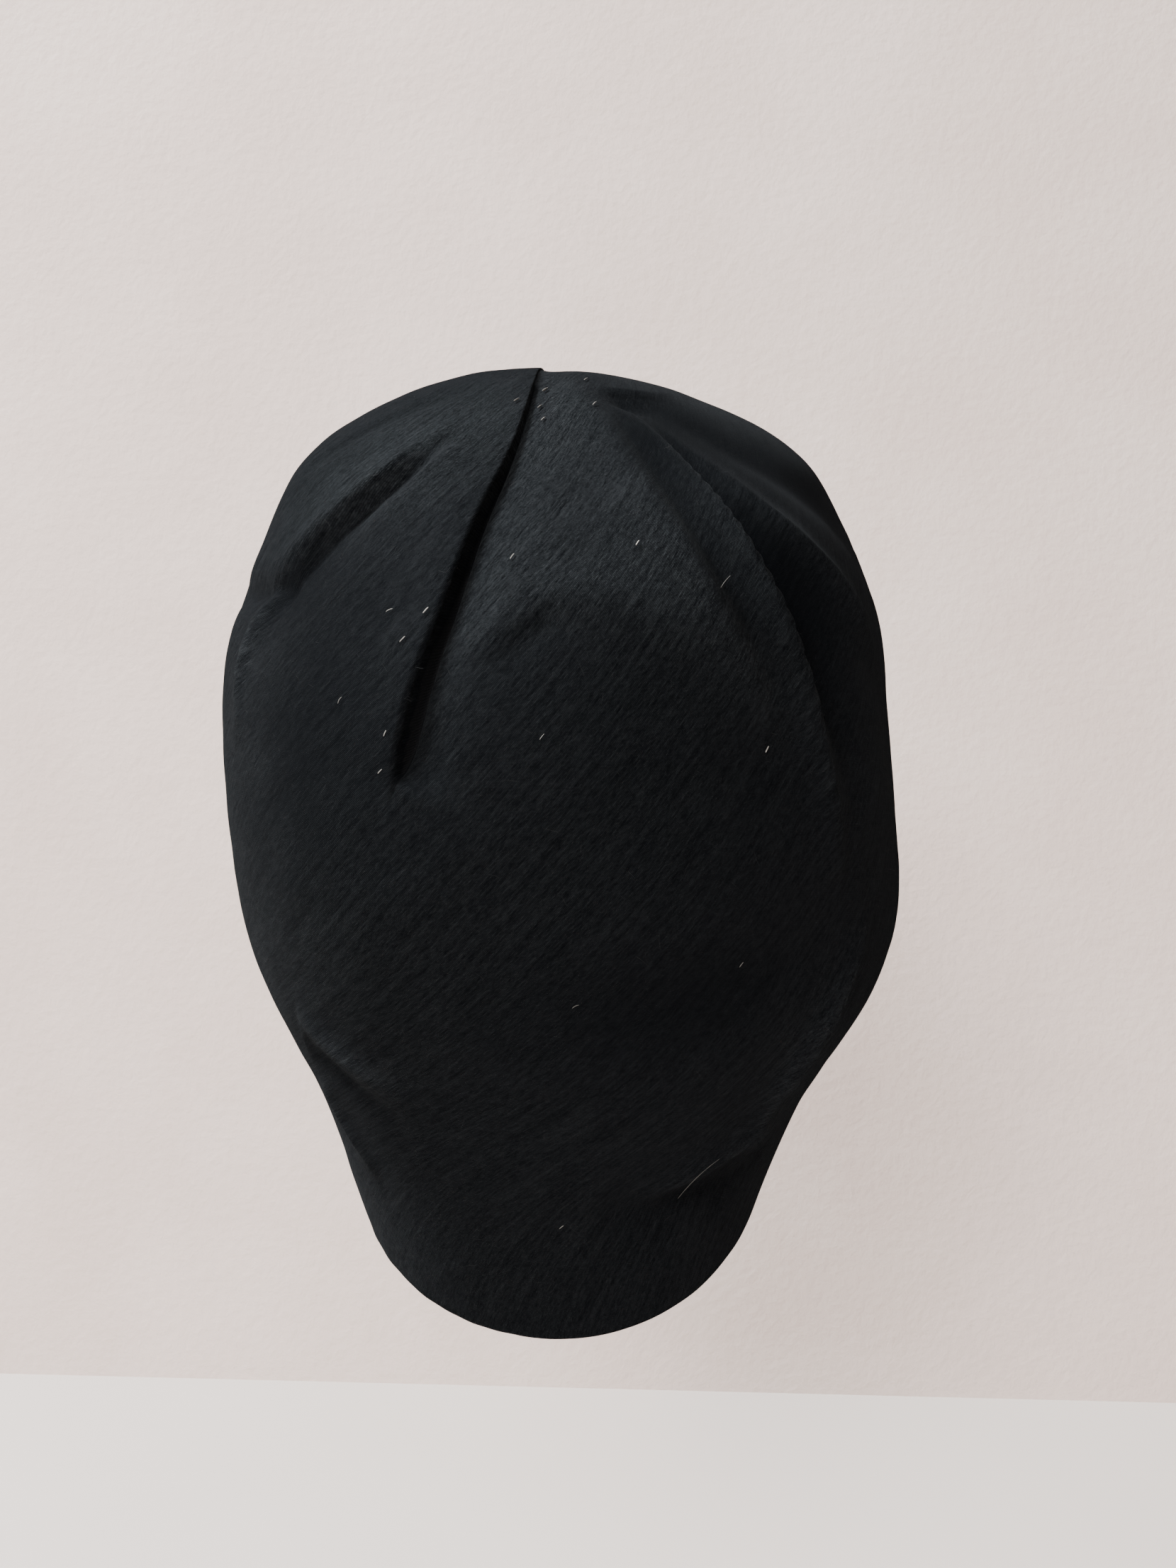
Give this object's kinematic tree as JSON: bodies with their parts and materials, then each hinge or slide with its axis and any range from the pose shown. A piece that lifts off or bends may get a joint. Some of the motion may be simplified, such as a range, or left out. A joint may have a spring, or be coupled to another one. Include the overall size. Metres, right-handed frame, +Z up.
{
  "type": "beanie",
  "caption": "Slim beanie of fine double jersey as worn: a hollow knitted wall with a crown dart, soft folds and a plain folded hem.",
  "frame": {"origin": "where the top of the head meets the inside of the crown, at the mount head_seat", "axes": "+Z up along the head, +Y to the back of the head, +X to the wearer's left"},
  "size_m": [0.1678, 0.1997, 0.2178],
  "materials": {
    "jersey": "matte, lightly brushed"
  },
  "bodies": {
    "root": {"knit_cap": "jersey"}
  },
  "joints": []
}
